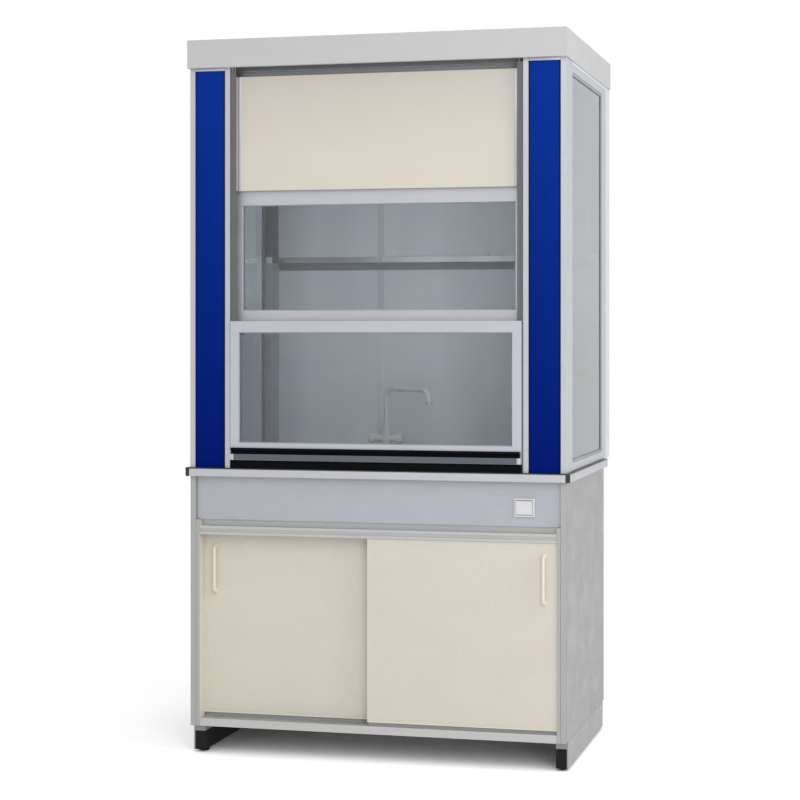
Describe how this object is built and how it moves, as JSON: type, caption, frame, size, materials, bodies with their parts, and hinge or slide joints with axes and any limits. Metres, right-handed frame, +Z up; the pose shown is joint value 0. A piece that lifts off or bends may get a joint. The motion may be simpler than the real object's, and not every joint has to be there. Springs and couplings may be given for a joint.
{
  "type": "glassware washing fume hood",
  "caption": "Free-standing washing fume hood: sink worktop on a sliding-door base cabinet, glazed upper case with counterweighted vertical sashes and an exhaust collar.",
  "frame": {"origin": "on the floor under the middle of the hood's overall box", "axes": "+Z up, +Y to the back, the sashes and doors look towards -Y, +X to the right as seen from the front"},
  "size_m": [1.225, 0.9, 2.25],
  "materials": {
    "fascia_paint": "satin light grey powder coat",
    "anodised": "satin anodised profile",
    "blue_cover": "satin blue cover",
    "track_black": "matt black",
    "beige_board": "beige melamine faced board",
    "sash_glass": "clear float glass",
    "side_glass": "tinted float glass",
    "gasket_rubber": "black rubber",
    "gasket_grey": "light grey rubber",
    "track_grey": "grey guide",
    "grip_grey": "dark grey channel",
    "core_board": "chipboard core",
    "worktop_black": "dark laminate surface",
    "sink_steel": "brushed stainless steel",
    "drain_plastic": "grey polypropylene",
    "tap_enamel": "pale epoxy coated brass",
    "knob_plastic": "white moulded plastic",
    "apron_board": "blue-grey laminate",
    "cabinet_board": "light grey melamine faced board",
    "handle_cream": "cream plastic",
    "baffle_sheet": "grey laminate sheet",
    "case_sheet": "light grey laminate sheet",
    "weight_iron": "cast iron",
    "pulley_plastic": "white nylon",
    "bright_steel": "zinc plated steel",
    "lamp_white": "white housing",
    "lamp_opal": "opal diffuser",
    "switch_white": "white plastic",
    "base_paint": "light grey powder coat",
    "foot_black": "black"
  },
  "bodies": {
    "root": {"base_rails": "base_paint", "foot_rails": "foot_black", "levelling_feet": "gasket_rubber", "cabinet_sides": "cabinet_board", "door_jambs": "cabinet_board", "cabinet_floor": "cabinet_board", "cabinet_back": "cabinet_board", "door_tracks": "anodised", "front_apron": "apron_board", "switch_frame": "switch_white", "worktop_core": "core_board", "worktop_surface": "worktop_black", "worktop_edging": "anodised", "edging_corner_caps": "track_black", "sink_bowl": "sink_steel", "drain_strainer": "sink_steel", "drain_trap": "drain_plastic", "tap_body": "tap_enamel", "front_pillars": "anodised", "pillar_covers": "blue_cover", "sash_tracks": "track_grey", "sash_stops": "gasket_rubber", "upper_front_panel": "beige_board", "lower_sash_cables": "bright_steel", "upper_sash_cables": "bright_steel", "pulley_brackets": "bright_steel", "pulley_axles": "bright_steel", "side_rails": "anodised", "side_glass": "side_glass", "side_gaskets": "gasket_grey", "rear_posts": "anodised", "plenum_sides": "case_sheet", "rear_wall": "case_sheet", "plenum_floor": "case_sheet", "baffle_panels": "baffle_sheet", "roof_panel": "case_sheet", "exhaust_collar": "drain_plastic", "canopy_front": "fascia_paint", "canopy_returns": "fascia_paint", "lamp_housing": "lamp_white", "lamp_diffuser": "lamp_opal"},
    "lower_sash": {"lower_sash_frame": "anodised", "lower_sash_glass": "sash_glass", "lower_sash_grip": "grip_grey"},
    "upper_sash": {"upper_sash_frame": "anodised", "upper_sash_glass": "sash_glass"},
    "lower_weights": {"lower_sash_weights": "weight_iron"},
    "upper_weights": {"upper_sash_weights": "weight_iron"},
    "lower_pulley_right": {"lower_pulley_right": "pulley_plastic"},
    "lower_pulley_left": {"lower_pulley_left": "pulley_plastic"},
    "upper_pulley_right": {"upper_pulley_right": "pulley_plastic"},
    "upper_pulley_left": {"upper_pulley_left": "pulley_plastic"},
    "left_door": {"left_door_panel": "beige_board", "left_door_handle": "handle_cream"},
    "right_door": {"right_door_panel": "beige_board", "right_door_handle": "handle_cream"},
    "tap_spout": {"tap_spout": "tap_enamel"},
    "tap_knob_hot": {"tap_knob_hot": "knob_plastic"},
    "tap_knob_cold": {"tap_knob_cold": "knob_plastic"},
    "switch_rocker": {"switch_rocker": "switch_white"}
  },
  "joints": [
    {"name": "lower_sash_slide", "type": "slide", "parent": "root", "child": "lower_sash", "axis": [0, 0, 1], "range_m": [0, 0.74], "deforming": ["lower_sash_cables"]},
    {"name": "lower_weights_slide", "type": "slide", "parent": "root", "child": "lower_weights", "axis": [0, 0, 1], "range_m": [-0.74, 0]},
    {"name": "lower_pulley_right_spin", "type": "hinge", "parent": "root", "child": "lower_pulley_right", "pos_m": [0.49, -0.4215, 2.2065], "axis": [0, 1, 0], "continuous": true},
    {"name": "lower_pulley_left_spin", "type": "hinge", "parent": "root", "child": "lower_pulley_left", "pos_m": [-0.49, -0.4215, 2.2065], "axis": [0, 1, 0], "continuous": true},
    {"name": "upper_sash_slide", "type": "slide", "parent": "root", "child": "upper_sash", "axis": [0, 0, 1], "range_m": [0, 0.36], "deforming": ["upper_sash_cables"]},
    {"name": "upper_weights_slide", "type": "slide", "parent": "root", "child": "upper_weights", "axis": [0, 0, 1], "range_m": [-0.36, 0]},
    {"name": "upper_pulley_right_spin", "type": "hinge", "parent": "root", "child": "upper_pulley_right", "pos_m": [0.49, -0.3795, 2.2065], "axis": [0, 1, 0], "continuous": true},
    {"name": "upper_pulley_left_spin", "type": "hinge", "parent": "root", "child": "upper_pulley_left", "pos_m": [-0.49, -0.3795, 2.2065], "axis": [0, 1, 0], "continuous": true},
    {"name": "left_door_slide", "type": "slide", "parent": "root", "child": "left_door", "axis": [1, 0, 0], "range_m": [0, 0.547]},
    {"name": "right_door_slide", "type": "slide", "parent": "root", "child": "right_door", "axis": [-1, 0, 0], "range_m": [0, 0.547]},
    {"name": "tap_spout_swivel", "type": "hinge", "parent": "root", "child": "tap_spout", "pos_m": [-0.133, 0.232, 1], "axis": [0, 0, 1], "range_deg": [-160, 50]},
    {"name": "tap_knob_hot_turn", "type": "hinge", "parent": "root", "child": "tap_knob_hot", "pos_m": [-0.18, 0.232, 0.968], "axis": [-1, 0, 0], "range_deg": [0, 180]},
    {"name": "tap_knob_cold_turn", "type": "hinge", "parent": "root", "child": "tap_knob_cold", "pos_m": [-0.086, 0.232, 0.968], "axis": [1, 0, 0], "range_deg": [0, 180]},
    {"name": "switch_rocker_tilt", "type": "hinge", "parent": "root", "child": "switch_rocker", "pos_m": [0.4705, -0.424, 0.7995], "axis": [-1, 0, 0], "range_deg": [0, 8]}
  ],
  "couplings": [
    {"joint": "lower_weights_slide", "follows": "lower_sash_slide", "ratio": -1},
    {"joint": "lower_pulley_right_spin", "follows": "lower_sash_slide", "rad_per_m": 27.778},
    {"joint": "lower_pulley_left_spin", "follows": "lower_sash_slide", "rad_per_m": -27.778},
    {"joint": "upper_weights_slide", "follows": "upper_sash_slide", "ratio": -1},
    {"joint": "upper_pulley_right_spin", "follows": "upper_sash_slide", "rad_per_m": 27.778},
    {"joint": "upper_pulley_left_spin", "follows": "upper_sash_slide", "rad_per_m": -27.778}
  ]
}
